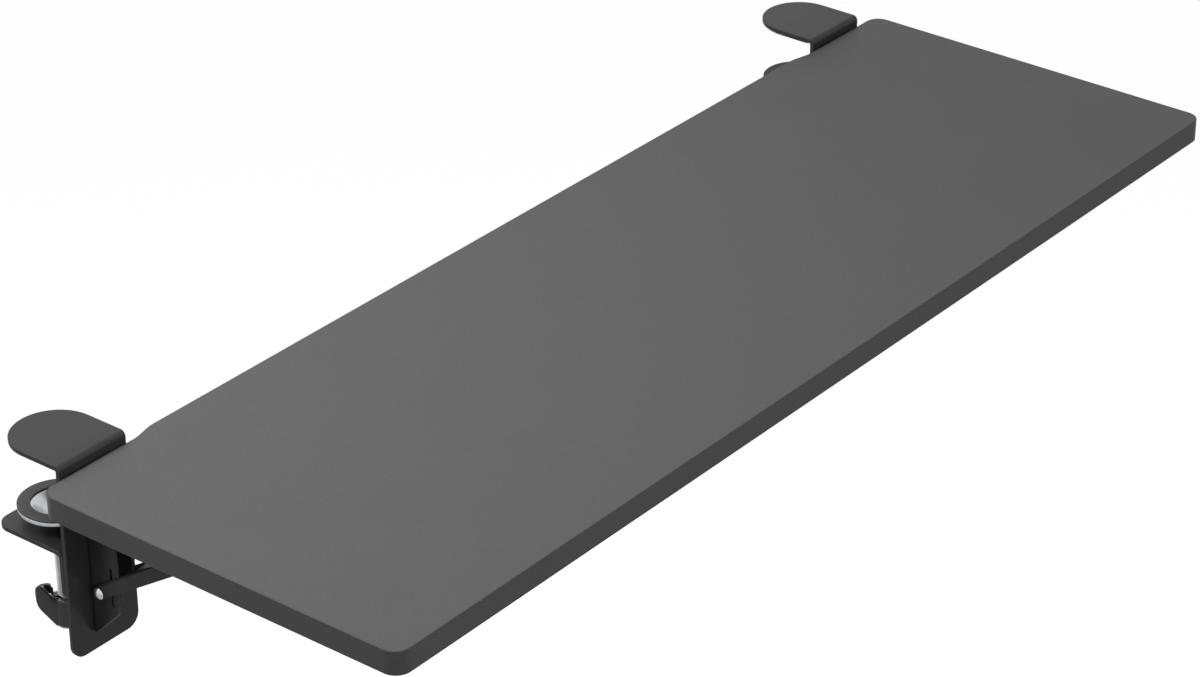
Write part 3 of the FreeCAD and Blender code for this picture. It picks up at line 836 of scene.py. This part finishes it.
@dataclass
class WingKnob:
    """Moulded knob: a round hub, and two wings that are hollow between a high and a low lip."""

    finishes: Finishes
    side: Side
    # Directions of the two wings, in degrees round the axis.
    wing_turns: Pair = (-38.0, 142.0)
    hub_radius: float = 8.0 * MM
    hub_height: float = 19.7 * MM
    hub_facets: int = 64
    hub_foot: Pair = (1.5 * MM, 2.0 * MM)
    hub_round: float = 2.4 * MM
    bore_radius: float = 5.05 * MM
    bore_depth: float = 13.0 * MM
    half_thickness: float = 4.5 * MM
    half_hollow: float = 1.8 * MM
    hollow_end: float = 12.5 * MM
    hollow_floor: float = 0.5 * MM
    rim_round: float = 0.8 * MM
    rim_segments: int = 4
    # Corners of a wing's outline: radius, height over the top of the hub, and rounding.
    foot: Triple = (7.0 * MM, -18.7 * MM, 2.0 * MM)
    flank: Triple = (17.6 * MM, -3.6 * MM, 14.0 * MM)
    high_crest: Triple = (17.6 * MM, 14.5 * MM, 1.95 * MM)
    high_root: Triple = (7.5 * MM, 0.0, 3.0 * MM)
    low_crest: Triple = (17.6 * MM, 6.3 * MM, 5.2 * MM)
    low_brow: Triple = (7.1 * MM, 6.3 * MM, 3.4 * MM)
    # Rounding of the high crest towards the hollow, and height of the wall at the hollow's end.
    inner_crest_round: float = 2.6 * MM
    hollow_wall: float = 7.1 * MM

    def build(self) -> None:
        """Make the knob in the place of its CAD node."""
        node = f"{self.side.value}_wing_knob"
        low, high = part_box(node)
        axis = Vector(((low.x + high.x) / 2, (low.y + high.y) / 2, 0))
        bm = bmesh.new()
        self.add_hub(bm, axis, low.z)
        top = Matrix.Translation((axis.x, axis.y, low.z + self.hub_height))
        for turn in self.wing_turns:
            self.add_wing(bm, top @ Matrix.Rotation(math.radians(turn), 4, "Z"))
        piece = place_piece(bm, f"{node}_moulded", self.finishes.nylon, f"{self.side.value}_screw")
        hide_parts(node)
        log.info("%s wing knob with hollow wings", self.side.value)

    def add_hub(self, bm: bmesh.types.BMesh, axis: Vector, foot: float) -> None:
        """Turn the hub, with a blind bore for the screw.

        Args:
            bm: Mesh that gets it.
            axis: A point on its axis.
            foot: Height of its foot.
        """
        top = foot + self.hub_height
        chamfer_in, chamfer_up = self.hub_foot
        points = [(0, foot), (self.hub_radius - chamfer_in, foot),
                  (self.hub_radius, foot + chamfer_up), (self.hub_radius, top),
                  (self.bore_radius, top), (self.bore_radius, top - self.bore_depth),
                  (0, top - self.bore_depth)]
        spin_profile(bm, points, axis, self.hub_facets)
        round_ring(bm, axis, (self.hub_radius, top), self.hub_round)

    def add_wing(self, bm: bmesh.types.BMesh, frame: Matrix) -> None:
        """Add one wing: two lips, and between them a floor with a wall at the outer end.

        Args:
            bm: Mesh that gets it.
            frame: Place of the top of the hub, with X along the wing.
        """
        inner_foot = (0, self.foot[1], 0)
        root = [(self.low_brow[0], 0, 0), (0, 0, 0)]
        floor = [(self.hollow_end, self.hollow_floor, 0), (0, self.hollow_floor, 0)]
        body = [inner_foot, self.foot, self.flank]
        inner_crest = (*self.high_crest[:2], self.inner_crest_round)
        high = rounded_outline(body + [self.high_crest, self.high_root, (0, 0, 0)])
        high_inside = rounded_outline(body + [inner_crest, self.high_root, (0, 0, 0)])
        low = rounded_outline(body + [self.low_crest, self.low_brow] + root)
        high_end = rounded_outline(body + [inner_crest, (self.hollow_end, self.hollow_wall, 0)]
                                   + floor)
        low_end = rounded_outline(body + [self.low_crest, (self.hollow_end, self.low_crest[1], 0)]
                                  + floor)
        loft(bm, frame, [(high_end, self.half_hollow), (low_end, -self.half_hollow)])
        for outside, inside, side in ((high, high_inside, 1), (low, low, -1)):
            rows = loft(bm, frame, [(outside, side * self.half_thickness),
                                    (inside, side * self.half_hollow)])
            rim = [bm.edges.get(pair) for pair in zip(rows[0], rows[0][1:] + rows[0][:1])]
            bmesh.ops.bevel(bm, geom=rim, offset=self.rim_round, offset_type="OFFSET",
                            segments=self.rim_segments, profile=CIRCULAR, affect="EDGES",
                            loop_slide=False, material=-1)


@dataclass
class FoldingBrace:
    """The brace and the rail that it slides in."""

    finishes: Finishes
    side: Side
    edge_round: float = 0.2 * MM

    def build(self) -> None:
        """Round the edges of the rail, and dress the brace and its pin."""
        name = self.side.value
        softener = Softener(edge_round=self.edge_round)
        softener.copy(f"{name}_tray_rail", f"{name}_tray_rail_coated", self.finishes.powder_coat,
                      Body.TRAY.value, "black_steel")
        dress(f"{name}_brace_arm", self.finishes.powder_coat)
        dress(f"{name}_slot_pin", self.finishes.zinc)
        log.info("%s brace and rail", name)


@dataclass
class PhotoCamera:
    """Camera at the photograph's place, from a fit to the board's outline."""

    place: Triple = (-1.5938, -1.3440, 1.0760)
    azimuth: float = -51.565
    elevation: float = 29.072
    roll: float = -0.2335
    focal_pixels: float = 3796.6
    sensor: float = 36.0
    near_clip: float = 0.01
    far_clip: float = 100.0

    def build(self) -> None:
        """Make the camera and put it in use."""
        camera = bpy.data.cameras.new("photo_camera")
        camera.sensor_width = self.sensor
        camera.lens = self.focal_pixels * self.sensor / PHOTO_WIDTH
        camera.clip_start = self.near_clip
        camera.clip_end = self.far_clip
        holder = bpy.data.objects.new("photo_camera", camera)
        bpy.context.scene.collection.objects.link(holder)
        turn = math.radians(self.azimuth)
        rise = math.radians(self.elevation)
        back = Vector((math.sin(turn) * math.cos(rise), -math.cos(turn) * math.cos(rise),
                       math.sin(rise)))
        level = back.to_track_quat("Z", "Y").to_matrix().to_4x4()
        holder.matrix_world = (Matrix.Translation(Vector(self.place)) @ level
                               @ Matrix.Rotation(math.radians(self.roll), 4, "Z"))
        bpy.context.scene.camera = holder


@dataclass
class SoftBox:
    """A square lamp, which looks at the middle of the board unless it has a target of its own."""

    name: str
    place: Triple
    size: float
    power: float
    target: Triple = (0.0, -0.12, 0.0)

    def build(self) -> None:
        """Make the lamp."""
        lamp = bpy.data.lights.new(self.name, "AREA")
        lamp.shape = "SQUARE"
        lamp.size = self.size
        lamp.energy = self.power
        holder = bpy.data.objects.new(self.name, lamp)
        bpy.context.scene.collection.objects.link(holder)
        away = Vector(self.place) - Vector(self.target)
        holder.matrix_world = (Matrix.Translation(Vector(self.place))
                               @ away.to_track_quat("Z", "Y").to_matrix().to_4x4())


# The key lamp stands over the left clamp, the fill lamp lights the faces at the front and left,
# the edge lamp the rear edges from the far left, and the rim lamp the knob from low behind.
LAMPS = (
    SoftBox("key_lamp", place=(-0.4, 0.2, 0.8), size=0.8, power=6.6),
    SoftBox("fill_lamp", place=(-1.0, -1.4, 0.4), size=0.9, power=6.5),
    SoftBox("edge_lamp", place=(-1.1, 0.7, 1.0), size=0.4, power=3.0),
    SoftBox("rim_lamp", place=(0.75, 0.56, -0.52), size=0.3, power=3.0,
            target=(-0.355, 0.028, -0.1)),
)


@dataclass
class Studio:
    """Pale floor at a desk's height below the part, a white backdrop and soft lamps."""

    floor_drop: float = 0.72
    floor_reach: float = 8.0
    floor_grey: str = "#8c8c8c"
    floor_glow: float = 0.94
    floor_mirrored: float = 0.6
    backdrop_strength: float = 1.0
    room_light: float = 0.12

    def build(self) -> None:
        """Make the floor, the world and the lamps."""
        bm = bmesh.new()
        bmesh.ops.create_grid(bm, x_segments=1, y_segments=1, size=self.floor_reach,
                              matrix=Matrix.Translation((0, 0, -self.floor_drop)))
        mesh = bpy.data.meshes.new("studio_floor")
        bm.to_mesh(mesh)
        bm.free()
        mesh.materials.append(self.floor_material())
        floor = bpy.data.objects.new("studio_floor", mesh)
        bpy.context.scene.collection.objects.link(floor)
        self.light_world()
        for lamp in LAMPS:
            lamp.build()
        bpy.context.scene.view_settings.view_transform = "Standard"

    def seen(self, tree: bpy.types.NodeTree, mirrored: float) -> bpy.types.NodeSocket:
        """One for camera and glass rays, a share for mirror rays, and zero for the light itself.

        Args:
            tree: The node tree that asks.
            mirrored: The share of the backdrop's white that mirror rays see.

        Returns:
            The socket with that number.
        """
        path = add_node(tree, "ShaderNodeLightPath")
        mirror = add_node(tree, "ShaderNodeMath", {0: path.outputs["Is Glossy Ray"]},
                          operation="MULTIPLY")
        mirror.inputs[1].default_value = mirrored
        shown = add_node(tree, "ShaderNodeMath", {0: path.outputs["Is Camera Ray"],
                                                  1: mirror.outputs["Value"]}, operation="MAXIMUM")
        shown = add_node(tree, "ShaderNodeMath", {0: shown.outputs["Value"],
                                                  1: path.outputs["Is Transmission Ray"]},
                         operation="MAXIMUM")
        return shown.outputs["Value"]

    def floor_material(self) -> bpy.types.Material:
        """Matt floor that looks nearly white where no shadow falls on it.

        Returns:
            The floor's material.
        """
        material = bpy.data.materials.new("studio_floor_paint")
        material.use_nodes = True
        tree = material.node_tree
        tree.nodes.clear()
        matt = add_node(tree, "ShaderNodeBsdfDiffuse", color=linear(self.floor_grey))
        lift = add_node(tree, "ShaderNodeMath", {0: self.seen(tree, self.floor_mirrored)},
                        operation="MULTIPLY")
        lift.inputs[1].default_value = self.floor_glow
        glow = add_node(tree, "ShaderNodeEmission", {"Strength": lift.outputs["Value"]})
        both = add_node(tree, "ShaderNodeAddShader", {0: matt.outputs["BSDF"],
                                                      1: glow.outputs["Emission"]})
        add_node(tree, "ShaderNodeOutputMaterial", {"Surface": both.outputs["Shader"]})
        return material

    def light_world(self) -> None:
        """White backdrop to the camera, and an even low light on the object."""
        world = bpy.data.worlds.new("studio_world")
        world.use_nodes = True
        tree = world.node_tree
        tree.nodes.clear()
        strength = add_node(tree, "ShaderNodeMapRange", {"Value": self.seen(tree, 1.0)},
                            to_min=self.room_light, to_max=self.backdrop_strength)
        light = add_node(tree, "ShaderNodeBackground", {"Strength": strength.outputs["Result"]},
                         color=(1.0, 1.0, 1.0, 1.0))
        add_node(tree, "ShaderNodeOutputWorld", {"Surface": light.outputs["Background"]})
        bpy.context.scene.world = world


def main() -> None:
    """Load the frame, dress the part and set up the studio."""
    logging.basicConfig(level=logging.INFO, format="%(message)s")
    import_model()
    finishes = Finishes()
    Tray(finishes).build()
    for side in Side:
        ClampSteel(finishes, side).build()
        NutWeld(finishes, side).build()
        TonguePad(finishes, side).build()
        ThreadedScrew(finishes, side).build()
        WingKnob(finishes, side).build()
        PressureCup(finishes, side).build()
        FoldingBrace(finishes, side).build()
        RailScrews(finishes, side).build()
    PhotoCamera().build()
    Studio().build()


if __name__ == "__main__":
    main()
